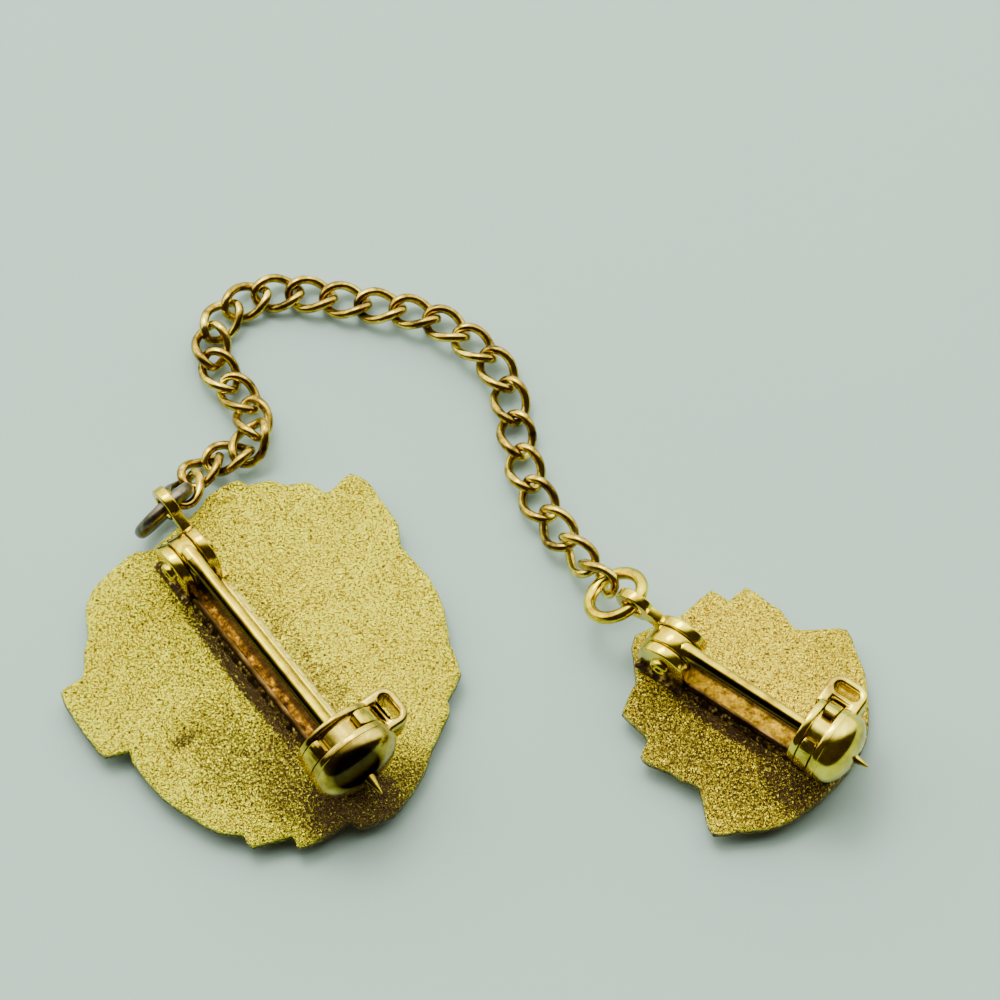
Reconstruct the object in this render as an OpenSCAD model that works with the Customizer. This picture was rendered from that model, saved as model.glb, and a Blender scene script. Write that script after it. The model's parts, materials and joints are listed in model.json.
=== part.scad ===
// Lapel pin with a small guard pin on a curb chain, lying face down.
// The origin is the middle of the large badge's face, on the surface it rests on.

/* [Badges] */
// Thickness of the plate of each badge
plate_t = 0.6; // [0.5:0.1:0.9]
// Height of the raised face under each plate, which the badge rests on
face_h = 0.9; // [0.6:0.1:1]
// Size of the raised face, as a share of the plate
face_share = 0.86; // [0.75:0.01:0.9]
// Place of the guard badge's middle, from the large badge's middle
guard_at = [25.3, -2.9];

/* [Pin backs] */
// Direction of the large badge's pin stem, in degrees from +X
main_turn = -52; // [-54:0.5:-50]
// Direction of the guard badge's pin stem
guard_turn = -34.5; // [-36:0.5:-33]
// Distance from hinge to catch on the large badge
main_reach = 13.4; // [13:0.1:14]
// Distance from hinge to catch on the guard badge
guard_reach = 8.9; // [8.7:0.1:9.4]
// Length of the stem that stands out past the catch's middle
main_overhang = 3.4; // [3:0.1:3.8]
guard_overhang = 3; // [2.8:0.1:3.3]
// Diameter of the stem wire
stem_d = 0.8; // [0.7:0.05:0.85]
// Turn that opens each stem, for fitting only
stem_open = 0; // [0:1:104]
// Turn that opens each lever, for fitting only
lever_open = 0; // [0:1:165]

/* [Chain] */
// Diameter of the chain's wire
link_wire_d = 0.5; // [0.44:0.01:0.5]
// Middle line of a link: half its length and half its width
link_half_l = 1.3;
link_half_w = 0.9;
// Wire and middle line of the grey ring on the large badge
main_ring_wire_d = 0.74; // [0.6:0.02:0.76]
main_ring_r = 1.65;
// Wire and middle line of the gold ring on the guard badge
guard_ring_wire_d = 0.68; // [0.6:0.02:0.7]
guard_ring_r = 1.5;

/* [Hidden] */
// Where each link starts, and how each one lies: its step to the next link, its
// heading from +X, its climb from the surface and its roll about its own length
chain_start = [-4.63, 8.59, 2.08];
LIE = [
    // step, heading, climb, roll
    [1.85, 73, -27, -20],
    [1.63, 46, -14, -26],
    [1.84, 15, 6, -21],
    [1.18, 60, 12, -12],
    [1.92, 104, -14, 7],
    [1.70, 132, -4, 10],
    [1.81, 124, 3, 4],
    [1.60, 91, -2, 6],
    [1.82, 55, -1, 9],
    [1.81, 29, -1, 8],
    [1.85, 3, -1, 5],
    [1.89, -10, 1, -2],
    [1.95, -12, 1, -3],
    [1.94, -10, 3, -8],
    [1.96, -16, 1, -13],
    [1.91, -34, 2, -12],
    [1.98, -40, 0, -13],
    [1.91, -59, -4, -5],
    [1.99, -80, -2, -1],
    [2.04, -80, 0, -6],
    [1.97, -75, 2, 4],
    [2.01, -64, 4, 16],
    [1.98, -57, 8, 34],
    [1.97, -53, 12, 59],
    [1.90, -51, 21, 92]
];
links = len(LIE);

function link_name(i) = str("link_", i < 10 ? "0" : "", i);

// Edge of the large badge, clockwise from its hinge: x, y from its middle
MAIN_EDGE = [
    [-3.7, 8.4], [-3.2, 9.2], [-1.7, 10.1], [-1.1, 9.8], [0.1, 10.1], [1.0, 9.8],
    [2.1, 10.0], [3.0, 9.4], [3.6, 9.7], [4.4, 10.5], [5.4, 10.0], [6.1, 8.9],
    [7.0, 7.6], [7.2, 6.3], [8.7, 4.5], [9.5, 2.7], [9.8, 0.8], [10.4, -0.9],
    [9.7, -2.4], [9.8, -3.1], [8.9, -5.1], [8.5, -6.4], [7.3, -8.3], [6.5, -8.9],
    [5.2, -9.4], [4.7, -9.1], [3.2, -10.0], [2.0, -10.4], [1.7, -9.8], [-0.3, -10.4],
    [-0.8, -9.8], [-2.1, -9.6], [-3.5, -8.8], [-5.1, -7.7], [-6.7, -5.8], [-6.9, -5.2],
    [-8.1, -5.5], [-8.9, -4.7], [-9.9, -3.3], [-10.6, -1.9], [-9.5, -1.1], [-9.5, 0.3],
    [-9.3, 1.2], [-9.5, 2.7], [-9.1, 3.9], [-7.9, 5.2], [-6.9, 6.0], [-6.1, 6.1]
];
// Edge of the guard badge, clockwise from its hinge: x, y from its middle
GUARD_EDGE = [
    [-5.8, 4.2], [-3.6, 5.1], [-2.9, 5.7], [-1.7, 6.7], [-0.8, 6.1], [0.1, 6.9],
    [1.2, 6.1], [2.0, 5.5], [2.7, 4.5], [3.9, 4.5], [5.4, 4.5], [5.8, 3.4],
    [6.3, 1.9], [6.4, 0.0], [6.2, -1.7], [5.2, -3.4], [3.7, -5.0], [2.6, -5.8],
    [1.4, -6.4], [0.3, -6.6], [-0.8, -6.7], [-1.9, -6.8], [-2.3, -5.8], [-2.6, -4.3],
    [-3.5, -3.9], [-4.0, -3.5], [-5.2, -3.0], [-5.6, -2.5], [-5.3, -1.8], [-5.4, -1.4],
    [-6.4, -0.4], [-6.5, 0.0], [-6.0, 1.2], [-5.8, 1.6], [-5.9, 2.8]
];
// Sides that stand for each stretch between two points of an edge
edge_steps = 2;

// Heights: the back of both plates, and the pin parts above it
back_z = face_h + plate_t;
rivet_z = 1.8;
main_stem_z = 3;
guard_stem_z = 2.7;

// Hinge of each pin, in the large badge's frame
main_hinge = [-3.92, 4.73];
guard_hinge = [21.38, -0.25];

// Hinge: two ears with a rivet through them, and the stem's disc between
ear_r = 1.4;
ear_in = 0.55;
ear_out = 1.15;
ear_foot_out = 1.45;
disc_half = ear_in - 0.05;
rivet_r = 0.4;
ear_bore_r = 0.42;
disc_bore_r = 0.45;
rivet_head_r = 0.62;
rivet_head_h = 0.26;
gap = 0.05;
dome_steps = 5;

// Eye for the jump ring, beside the far ear
eye_x = -2.95;
eye_r = 1.05;
eye_bore_r = 0.6;
main_eye_z = 2.35;
guard_eye_z = 2.05;

// Channel that carries the ears and the hook
channel_half = 1;
channel_wall = 0.3;
channel_floor = 0.3;
channel_wall_h = 0.75;
channel_past = 1.6;
sunk = 0.2;

// Catch: a curled hook with a slotted barrel that turns in it
main_hook_r = 2.35;
guard_hook_r = 1.9;
main_hook_w = 0.9;
guard_hook_w = 0.75;
hook_t = 0.5;
hook_from = 122;
hook_sweep = 300;
cap_past_hook = 0.1;
flange_end = 0.85;
cap_l = 1.4;
cap_dome = 0.45;
barrel_bore_past = 0.1;
slot_w = 1;
slot_dir = 285;
loop_dir = -8;
loop_span = 0.4;
loop_r = 0.75;
loop_hole_r = 0.28;
loop_h = 1.7;
main_loop_at = 2.95;
guard_loop_at = 2.6;

// How the rings hang: their lean away from the hinge and their turn about +Z
main_ring_lean = 16;
main_ring_turn = 8;
guard_ring_lean = 56;
guard_ring_turn = -5;

// Shape of a link: twist of each half and the sides of its sweep
link_twist = -45;
link_steps = 16;
link_sides = 6;

$fn = 64;

// Catmull-Rom point between b and c, where a and d are their neighbours
function curve(a, b, c, d, t) =
    0.5 * (2 * b + (c - a) * t + (2 * a - 5 * b + 4 * c - d) * t * t
    + (3 * b - a - 3 * c + d) * t * t * t);

function smooth(edge) = let (n = len(edge)) [
    for (i = [0:n - 1]) for (s = [0:edge_steps - 1])
        curve(edge[(i + n - 1) % n], edge[i], edge[(i + 1) % n], edge[(i + 2) % n],
            s / edge_steps)
];

// Disc or bar about the X axis from x0 to x1, and the same about the Y axis
module disc_x(r, x0, x1) {
    translate([x0, 0, 0]) rotate([0, 90, 0]) cylinder(r = r, h = x1 - x0);
}

module disc_y(r, y0, y1) {
    translate([0, y1, 0]) rotate([90, 0, 0]) cylinder(r = r, h = y1 - y0);
}

// Low dome of radius r and height h on the plane x = 0, bulging towards +X
module dome_x(r, h) {
    rotate([0, 90, 0]) rotate_extrude()
        polygon(concat(
            [[0, -gap], [r, -gap]],
            [for (s = [0:dome_steps]) [r * cos(s * 90 / dome_steps), h * sin(s * 90 / dome_steps)]]
        ));
}

// Frames of the two pin backs: +X along the stem, origin on the plate's back
module on_main() {
    translate([main_hinge[0], main_hinge[1], back_z]) rotate(main_turn) children();
}

module on_guard() {
    translate([guard_hinge[0], guard_hinge[1], back_z]) rotate(guard_turn) children();
}

module plate(edge) {
    translate([0, 0, face_h]) linear_extrude(plate_t) polygon(smooth(edge));
    linear_extrude(face_h + sunk) scale(face_share) polygon(smooth(edge));
}

// One ear of the hinge on the side of +Y: a round top on a block, with a flared foot
module ear() {
    translate([0, 0, rivet_z]) disc_y(ear_r, ear_in, ear_out);
    translate([-ear_r, ear_in, 0]) cube([2 * ear_r, ear_out - ear_in, rivet_z]);
    translate([-ear_r, ear_out - sunk, 0])
        cube([2 * ear_r, ear_foot_out - ear_out + sunk, channel_floor]);
}

// Vertical eye on the far ear, with its neck
module ring_eye(eye_z) {
    translate([eye_x, 0, eye_z]) disc_y(eye_r, ear_in, ear_out);
    translate([eye_x, ear_in, eye_z - 0.7]) cube([-eye_x - 1, ear_out - ear_in, 0.9]);
}

// Shallow channel under the stem, scooped out under the barrel's flange and cap
module channel(reach, stem_z, cap_r, hook_w) {
    end = reach + channel_past;
    translate([-ear_r, -channel_half, -sunk])
        cube([end + ear_r, 2 * channel_half, channel_floor + sunk]);
    difference() {
        for (side = [-1, 1])
            translate([ear_r, side * (channel_half - channel_wall / 2) - channel_wall / 2, 0])
                cube([end - ear_r, channel_wall, channel_wall_h]);
        translate([reach, 0, stem_z])
            disc_x(cap_r + 0.12, -flange_end - 0.15, cap_l + cap_dome + hook_w);
    }
}

// Fixed hook: a curled strip, open at the top, on a short foot
module hook(reach, stem_z, hook_r, hook_w) {
    translate([reach, 0, stem_z]) rotate([0, 90, 0]) rotate(hook_from + 90)
        rotate_extrude(angle = hook_sweep)
            translate([hook_r - hook_t, -hook_w / 2]) square([hook_t, hook_w]);
    translate([reach - hook_w / 2, -0.8, 0])
        cube([hook_w, 1.6, stem_z - hook_r + hook_t * 0.7]);
}

module pin_base(reach, stem_z, hook_r, hook_w, eye_z) {
    difference() {
        union() {
            channel(reach, stem_z, hook_r + cap_past_hook, hook_w);
            ear();
            mirror([0, 1, 0]) ear();
            ring_eye(eye_z);
            hook(reach, stem_z, hook_r, hook_w);
        }
        translate([0, 0, rivet_z]) disc_y(ear_bore_r, -2 * ear_out, 2 * ear_out);
        translate([eye_x, 0, eye_z]) disc_y(eye_bore_r, 0, 2 * ear_out);
    }
}

module main_badge() {
    color("darkkhaki") {
        plate(MAIN_EDGE);
        on_main() pin_base(main_reach, main_stem_z, main_hook_r, main_hook_w, main_eye_z);
    }
}

module guard_badge() {
    color("darkkhaki") {
        translate([guard_at[0], guard_at[1], 0]) plate(GUARD_EDGE);
        on_guard()
            pin_base(guard_reach, guard_stem_z, guard_hook_r, guard_hook_w, guard_eye_z);
    }
}

module rivet() {
    color("gold") translate([0, 0, rivet_z]) {
        disc_y(rivet_r, -ear_out - gap, ear_out + gap);
        for (side = [-1, 1])
            rotate(side * 90) translate([ear_out + gap, 0, 0])
                dome_x(rivet_head_r, rivet_head_h);
    }
}

// Stem: a disc on the rivet, a short neck, the wire and its point
module stem(tip, stem_z) {
    wire_r = stem_d / 2;
    neck_l = 1.9;
    point_l = 1.6;
    color("goldenrod")
        translate([0, 0, rivet_z]) rotate([0, -stem_open, 0]) translate([0, 0, -rivet_z])
            difference() {
                union() {
                    translate([0, 0, rivet_z]) disc_y(ear_r, -disc_half, disc_half);
                    translate([0, 0, stem_z]) rotate([0, 90, 0])
                        cylinder(r1 = disc_half - 0.02, r2 = wire_r, h = neck_l);
                    translate([0, 0, stem_z]) disc_x(wire_r, neck_l - gap, tip - point_l);
                    translate([tip - point_l, 0, stem_z]) rotate([0, 90, 0])
                        cylinder(r1 = wire_r, r2 = 0.06, h = point_l);
                }
                translate([0, 0, rivet_z]) disc_y(disc_bore_r, -ear_in, ear_in);
            }
}

// Flat oblong with two round ends of radius r
module oblong(r) {
    for (side = [-1, 1]) translate([side * loop_span, 0]) circle(r = r);
    translate([-loop_span, -r]) square([2 * loop_span, 2 * r]);
}

// Barrel with a flange, a domed cap and a finger loop that straddles the hook
module lever(hook_r, hook_w, loop_at) {
    side = hook_w / 2 + gap;
    cap_r = hook_r + cap_past_hook;
    cap_end = side + cap_l;
    color("khaki") rotate([lever_open, 0, 0])
        difference() {
            union() {
                disc_x(hook_r - cap_past_hook, -flange_end, -side);
                disc_x(hook_r - hook_t - gap, -side - gap, side + gap);
                disc_x(cap_r, side, cap_end);
                translate([cap_end, 0, 0]) dome_x(cap_r - 0.02, cap_dome);
                rotate([loop_dir, 0, 0]) linear_extrude(loop_h, center = true)
                    difference() {
                        union() {
                            translate([0, loop_at]) oblong(loop_r);
                            translate([-loop_r - loop_span, 1.25])
                                square([2 * (loop_r + loop_span), loop_at - 1.25]);
                        }
                        translate([0, loop_at]) oblong(loop_hole_r);
                        translate([-side - gap, 0]) square([2 * (side + gap), hook_r + gap]);
                    }
            }
            disc_x(stem_d / 2 + barrel_bore_past, -2 * cap_end, 2 * cap_end);
            rotate([slot_dir, 0, 0]) translate([-2 * cap_end, 0, -slot_w / 2])
                cube([4 * cap_end, 2 * hook_r, slot_w]);
        }
}

// Ring that hangs in an eye, leaning away from the hinge
module jump_ring(eye_z, lean, turn, ring_r, wire_d) {
    translate([eye_x, (ear_in + ear_out) / 2, eye_z]) rotate([0, 90 + lean, turn])
        translate([ring_r, 0, 0])
            rotate_extrude() translate([ring_r, 0]) circle(d = wire_d);
}

// Middle line of a twisted link and the direction it runs in
function link_line(u) =
    let (turn = link_twist * cos(u), across = link_half_w * sin(u))
    [link_half_l * cos(u), across * cos(turn), across * sin(turn)];

function unit(v) = v / norm(v);

function link_ring(u) =
    let (
        middle = link_line(u),
        ahead = unit(link_line(u + 1) - link_line(u - 1)),
        out = unit(middle - (middle * ahead) * ahead),
        up = cross(ahead, out)
    )
    [for (k = [0:link_sides - 1]) let (a = (k + 0.5) * 360 / link_sides)
        middle + link_wire_d / 2 * (cos(a) * out + sin(a) * up)];

module curb_link() {
    points = [for (s = [0:link_steps - 1]) each link_ring(s * 360 / link_steps)];
    function at(s, k) = (s % link_steps) * link_sides + k % link_sides;
    polyhedron(points, [
        for (s = [0:link_steps - 1]) for (k = [0:link_sides - 1]) each [
            [at(s, k), at(s, k + 1), at(s + 1, k + 1)],
            [at(s, k), at(s + 1, k + 1), at(s + 1, k)]
        ]
    ]);
}

// Step from one link's start to the next link's start
function link_step(i) = let (h = LIE[i][1], c = LIE[i][2])
    LIE[i][0] * [cos(c) * cos(h), cos(c) * sin(h), sin(c)];

function link_start(i) = i == 0 ? chain_start : link_start(i - 1) + link_step(i - 1);

module chain_link(i) {
    color("peru") translate(link_start(i) + link_step(i) / 2)
        rotate([LIE[i][3], -LIE[i][2], LIE[i][1]]) curb_link();
}

module main_lever() {
    on_main() translate([main_reach, 0, main_stem_z])
        lever(main_hook_r, main_hook_w, main_loop_at);
}

module guard_lever() {
    on_guard() translate([guard_reach, 0, guard_stem_z])
        lever(guard_hook_r, guard_hook_w, guard_loop_at);
}

module main_jump_ring() {
    color("dimgray") on_main()
        jump_ring(main_eye_z, main_ring_lean, main_ring_turn, main_ring_r, main_ring_wire_d);
}

module guard_jump_ring() {
    color("gold") on_guard()
        jump_ring(guard_eye_z, guard_ring_lean, guard_ring_turn, guard_ring_r,
            guard_ring_wire_d);
}

main_badge();
on_main() rivet();  // main_rivet
on_main() stem(main_reach + main_overhang, main_stem_z);  // main_stem
main_lever();
main_jump_ring();
guard_badge();
on_guard() rivet();  // guard_rivet
on_guard() stem(guard_reach + guard_overhang, guard_stem_z);  // guard_stem
guard_lever();
guard_jump_ring();
for (i = [0:links - 1]) chain_link(i);
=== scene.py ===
"""Lapel pin with a small guard pin on a curb chain, seen from the back."""

import json
import math

import bmesh
import bpy
from mathutils import Matrix, Vector, noise


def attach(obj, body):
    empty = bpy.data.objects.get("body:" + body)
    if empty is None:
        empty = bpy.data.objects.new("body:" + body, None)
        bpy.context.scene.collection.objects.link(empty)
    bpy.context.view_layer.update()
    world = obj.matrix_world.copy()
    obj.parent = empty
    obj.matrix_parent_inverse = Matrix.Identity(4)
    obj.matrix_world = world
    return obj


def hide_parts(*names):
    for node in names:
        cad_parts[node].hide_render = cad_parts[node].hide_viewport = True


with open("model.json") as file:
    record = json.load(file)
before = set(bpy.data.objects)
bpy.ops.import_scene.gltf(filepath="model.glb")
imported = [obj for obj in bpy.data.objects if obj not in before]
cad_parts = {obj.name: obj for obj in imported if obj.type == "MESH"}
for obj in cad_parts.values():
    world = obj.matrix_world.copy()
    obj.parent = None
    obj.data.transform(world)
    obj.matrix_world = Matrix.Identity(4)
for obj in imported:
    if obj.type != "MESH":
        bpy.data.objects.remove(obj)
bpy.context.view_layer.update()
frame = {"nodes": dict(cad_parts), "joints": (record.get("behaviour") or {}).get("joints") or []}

# All sizes below are in millimetres, and a finished mesh is scaled to metres.
MM = 0.001
ROOT = "badges_and_chain"  # the body of everything that doesn't turn
LINKS = 25

# Plates, and the raised faces under them
BACK = 1.5  # height of both plates' backs above the floor
PLATE_T = 0.6
FACE_SHARE = 0.86  # size of a face's outline against its plate's

# Pin backs: x runs from the hinge along the stem, and heights start at the plate's back.
STEM_R = 0.4
RIVET_Z = 1.8
EAR_R = 1.4
EAR_IN, EAR_OUT = 0.55, 1.15  # from the stem's middle to an ear's two sides
EYE_X = -2.95
EYE_R = 1.05
EYE_BORE_R = 0.6
CHANNEL_HALF, CHANNEL_INNER = 1.0, 0.7  # from the stem's middle to a wall's two sides
CHANNEL_FLOOR = 0.3
CHANNEL_TOP = 0.75
HOOK_T = 0.5
LOOP_SPAN = 0.4  # from the middle of the finger loop to the middle of each round end

# The two pin backs differ only in these sizes: height of the stem and reach of its point,
# radius and width of the hook, height of the eye, distance of the finger loop from the
# barrel's middle, radius of the jump ring and of its wire, and how many degrees the ring
# leans and turns.
PINS = {
    "main": dict(stem_z=3.0, tip=16.8, hook_r=2.35, hook_w=0.9, eye_z=2.35, loop_at=2.95,
                 ring_r=1.65, ring_wire=0.37, lean=16, turn=8),
    "guard": dict(stem_z=2.7, tip=11.9, hook_r=1.9, hook_w=0.75, eye_z=2.05, loop_at=2.6,
                  ring_r=1.5, ring_wire=0.34, lean=56, turn=-5),
}


# Camera and light

def aim(obj, at, to):
    """Put a camera or a light at one point and turn it towards another, in millimetres."""
    at, to = Vector(at) * MM, Vector(to) * MM
    obj.location = at
    obj.rotation_euler = (to - at).to_track_quat("-Z", "Y").to_euler()
    bpy.context.scene.collection.objects.link(obj)


# The photograph's view, from about 68 degrees above the floor
camera_data = bpy.data.cameras.new("camera")
camera_data.lens = 132.4
camera_data.sensor_width = 36
camera_data.clip_start = 0.01
camera = bpy.data.objects.new("camera", camera_data)
aim(camera, (12.41, -64.65, 183.28), (12.41, 9.4, 0))
bpy.context.scene.camera = camera


def softbox(name, at, size, power):
    """Wide lamp of a faintly warm white, turned towards the middle of the object."""
    data = bpy.data.lights.new(name, "AREA")
    data.shape = "RECTANGLE"
    data.size, data.size_y = size[0] * MM, size[1] * MM
    data.energy = power
    data.color = (1.0, 0.99, 0.97)
    aim(bpy.data.objects.new(name, data), at, (8, 0, 0))


softbox("back_softbox", (0, 230, 330), (620, 380), 1.0)
softbox("key_softbox", (-60, 190, 340), (170, 110), 0.9)
softbox("left_softbox", (-300, 60, 220), (220, 220), 0.25)


# Materials

def linear(code):
    """Linear colour from an sRGB hex value such as D8C46A."""
    out = []
    for i in (0, 2, 4):
        c = int(code[i:i + 2], 16) / 255
        out.append(c / 12.92 if c <= 0.04045 else ((c + 0.055) / 1.055) ** 2.4)
    return (*out, 1)


def add(tree, kind, feed=None, stops=(), **settings):
    """Add a node: its settings, its ramp's stops with the outer two first, and a value or
    a link for each input."""
    made = tree.nodes.new(kind)
    for key, value in settings.items():
        setattr(made, key, value)
    for i, (place, code) in enumerate(stops):
        ramp = made.color_ramp.elements
        stop = ramp[i] if i < 2 else ramp.new(place)
        stop.position = place
        stop.color = linear(code)
    for key, value in (feed or {}).items():
        if isinstance(value, bpy.types.NodeSocket):
            tree.links.new(value, made.inputs[key])
        else:
            made.inputs[key].default_value = value
    return made


def new_material(name):
    """Empty material, and the tree that its nodes go into."""
    material = bpy.data.materials.new(name)
    material.use_nodes = True
    material.node_tree.nodes.clear()
    return material, material.node_tree


def surface(tree, feed):
    """Finish a material with its shader."""
    shader = add(tree, "ShaderNodeBsdfPrincipled", feed)
    add(tree, "ShaderNodeOutputMaterial", {"Surface": shader.outputs[0]})


def per_mm(size):
    """Scale of a pattern on Object coordinates whose grain is this many millimetres."""
    return 1 / (size * MM)


def blasted_gold(name, dark, plain, bright, centre, turn, pools):
    """Gold plated brass, blasted with grit: matt and grainy, olive brown in its pits.
    Burnt flux and painted shade darken it in pools beside the pin back, whose hinge is at
    centre, and painted shade darkens the side of its rim."""
    material, tree = new_material(name)
    place = add(tree, "ShaderNodeTexCoord").outputs["Object"]
    # The grit left pits about a tenth of a millimetre wide.
    grain = add(tree, "ShaderNodeTexNoise",
                {"Vector": place, "Scale": per_mm(0.11), "Detail": 2, "Roughness": 0.5,
                 "Distortion": 0.9})
    tone = add(tree, "ShaderNodeValToRGB", {"Fac": grain.outputs["Fac"]},
               stops=((0.34, dark), (0.62, bright), (0.47, plain)))
    # Uneven plating, in darker patches a few millimetres across
    patch = add(tree, "ShaderNodeTexNoise", {"Vector": place, "Scale": per_mm(3.5), "Detail": 3})
    worn = add(tree, "ShaderNodeMapRange",
               {0: patch.outputs["Fac"], 1: 0.42, 2: 0.62, 3: 0.0, 4: 0.2})
    patchy = add(tree, "ShaderNodeMix",
                 {0: worn.outputs[0], 6: tone.outputs[0], 7: linear("C8B040")},
                 data_type="RGBA", blend_type="MULTIPLY")
    # Pools of burnt flux and painted shade, placed from the hinge along the stem and
    # towards the far side
    along = add(tree, "ShaderNodeMapping",
                {"Vector": place, "Location": centre, "Rotation": (0, 0, turn)},
                vector_type="TEXTURE")
    # Painted shade on the side of the rim, below the plate's back, as dark as a pool
    height = add(tree, "ShaderNodeSeparateXYZ", {"Vector": place}).outputs["Z"]
    flux_and_shade = add(tree, "ShaderNodeMapRange",
                {0: height, 1: 1.12 * MM, 2: 1.26 * MM, 3: 1.0, 4: 0.0}).outputs[0]
    for x, y, stretch, solid, faded, depth in pools:
        flat = add(tree, "ShaderNodeVectorMath", {0: along.outputs[0], 1: (1 / stretch, 1, 0)},
                   operation="MULTIPLY")
        away = add(tree, "ShaderNodeVectorMath",
                   {0: flat.outputs[0], 1: (x * MM / stretch, y * MM, 0)}, operation="DISTANCE")
        pool = add(tree, "ShaderNodeMapRange",
                   {0: away.outputs["Value"], 1: faded * MM, 2: solid * MM, 3: 0.0, 4: depth},
                   interpolation_type="SMOOTHSTEP")
        flux_and_shade = add(tree, "ShaderNodeMath", {0: pool.outputs[0], 1: flux_and_shade},
                    operation="MAXIMUM").outputs[0]
    # The stain and painted shade gather in the pits, and bright specks of gold are left on
    # the high grains.
    pits = add(tree, "ShaderNodeMath", {0: grain.outputs["Fac"], 1: -2.6, 2: 1.25},
               operation="MULTIPLY_ADD")
    held = add(tree, "ShaderNodeMath", {0: flux_and_shade, 1: pits.outputs[0]}, operation="ADD")
    stain_and_shade = add(tree, "ShaderNodeMapRange",
                {0: held.outputs[0], 1: 0.15, 2: 0.95, 3: 0.0, 4: 0.97})
    colour = add(tree, "ShaderNodeMix",
                 {0: stain_and_shade.outputs[0], 6: patchy.outputs[2], 7: linear("4A3628")},
                 data_type="RGBA")
    # Real pits are shallower, and these are as deep as it takes for the grain to show.
    bump = add(tree, "ShaderNodeBump",
               {"Height": grain.outputs["Fac"], "Strength": 1.0, "Distance": 0.2 * MM})
    surface(tree, {"Base Color": colour.outputs[2], "Metallic": 1.0, "Roughness": 0.22,
                   "Normal": bump.outputs[0]})
    return material


def polished_gold(name, tarnish, plain, bright, stem=None, dark_reflection_at=None):
    """Gold plated brass, polished: mirror bright, with fine wipe marks and brown tarnish.
    A stem, given as its hinge and its turn, gets painted shade along its near side, and a
    catch gets a painted dark reflection around a place."""
    material, tree = new_material(name)
    place = add(tree, "ShaderNodeTexCoord").outputs["Object"]
    # Tarnish in clouds a millimetre or so across
    cloud = add(tree, "ShaderNodeTexNoise",
                {"Vector": place, "Scale": per_mm(1.3), "Detail": 5, "Roughness": 0.6})
    tone = add(tree, "ShaderNodeValToRGB", {"Fac": cloud.outputs["Fac"]},
               stops=((0.28, tarnish), (0.7, bright), (0.5, plain))).outputs[0]
    edge = (1, 1, 1, 1)  # tint of the sheen at a low angle
    if stem:
        along = add(tree, "ShaderNodeMapping",
                    {"Vector": place, "Location": stem[0], "Rotation": (0, 0, stem[1])},
                    vector_type="TEXTURE")
        part = add(tree, "ShaderNodeSeparateXYZ", {"Vector": along.outputs[0]})
        # It starts past the hinge disc.
        wire = add(tree, "ShaderNodeMapRange",
                   {0: part.outputs["X"], 1: 0.6 * MM, 2: 1.6 * MM, 3: 0.0, 4: 0.95})
        # Painted shade along the wire's near side, which faces away from the light
        near_shade = add(tree, "ShaderNodeMapRange",
                   {0: part.outputs["Y"], 1: -0.16 * MM, 2: -0.04 * MM,
                    3: wire.outputs[0], 4: 0.0})
        tone = add(tree, "ShaderNodeMix", {0: near_shade.outputs[0], 6: tone, 7: linear("30240E")},
                   data_type="RGBA").outputs[2]
    if dark_reflection_at:
        # Painted dark reflection around a spot on the cap's end
        away = add(tree, "ShaderNodeVectorMath", {0: place, 1: dark_reflection_at}, operation="DISTANCE")
        dark_reflection = add(tree, "ShaderNodeMapRange",
                    {0: away.outputs["Value"], 1: 1.3 * MM, 2: 1.95 * MM, 3: 0.94, 4: 0.0})
        tone = add(tree, "ShaderNodeMix", {0: dark_reflection.outputs[0], 6: tone, 7: linear("221A14")},
                   data_type="RGBA").outputs[2]
        # The painted dark reflection darkens the sheen too.
        edge = add(tree, "ShaderNodeMix", {0: dark_reflection.outputs[0], 6: edge, 7: linear("4C4232")},
                   data_type="RGBA").outputs[2]
    # Wipe marks half a millimetre wide, with finer ones in them
    marks = add(tree, "ShaderNodeTexNoise",
                {"Vector": place, "Scale": per_mm(0.5), "Detail": 6, "Roughness": 0.7})
    rough = add(tree, "ShaderNodeMapRange",
                {0: marks.outputs["Fac"], 1: 0.3, 2: 0.7, 3: 0.1, 4: 0.22})
    bump = add(tree, "ShaderNodeBump",
               {"Height": marks.outputs["Fac"], "Strength": 0.12, "Distance": 0.03 * MM})
    surface(tree, {"Base Color": tone, "Metallic": 1.0, "Specular Tint": edge,
                   "Roughness": rough.outputs[0], "Normal": bump.outputs[0]})
    return material


def soldered_floor(name, dark, plain, bright, centre, turn, shade):
    """Bottom of a channel, flooded with solder and tinted copper by the torch. Beyond the
    distance shade across the channel, it gets a painted shadow of the stem."""
    material, tree = new_material(name)
    place = add(tree, "ShaderNodeTexCoord").outputs["Object"]
    # The solder froze in lumps a third of a millimetre across.
    cloud = add(tree, "ShaderNodeTexNoise",
                {"Vector": place, "Scale": per_mm(0.32), "Detail": 5, "Roughness": 0.65})
    tone = add(tree, "ShaderNodeValToRGB", {"Fac": cloud.outputs["Fac"]},
               stops=((0.38, dark), (0.72, bright), (0.54, plain)))
    along = add(tree, "ShaderNodeMapping",
                {"Vector": place, "Location": centre, "Rotation": (0, 0, turn)},
                vector_type="TEXTURE")
    across = add(tree, "ShaderNodeSeparateXYZ", {"Vector": along.outputs[0]}).outputs["Y"]
    # Painted shadow of the stem on the floor
    under = add(tree, "ShaderNodeMapRange",
                {0: across, 1: (shade - 0.1) * MM, 2: (shade + 0.05) * MM, 3: 0.0, 4: 0.92})
    colour = add(tree, "ShaderNodeMix",
                 {0: under.outputs[0], 6: tone.outputs[0], 7: linear("2A1E0C")},
                 data_type="RGBA")
    bump = add(tree, "ShaderNodeBump",
               {"Height": cloud.outputs["Fac"], "Strength": 0.6, "Distance": 0.12 * MM})
    surface(tree, {"Base Color": colour.outputs[2], "Metallic": 1.0, "Roughness": 0.36,
                   "Normal": bump.outputs[0]})
    return material


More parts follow.
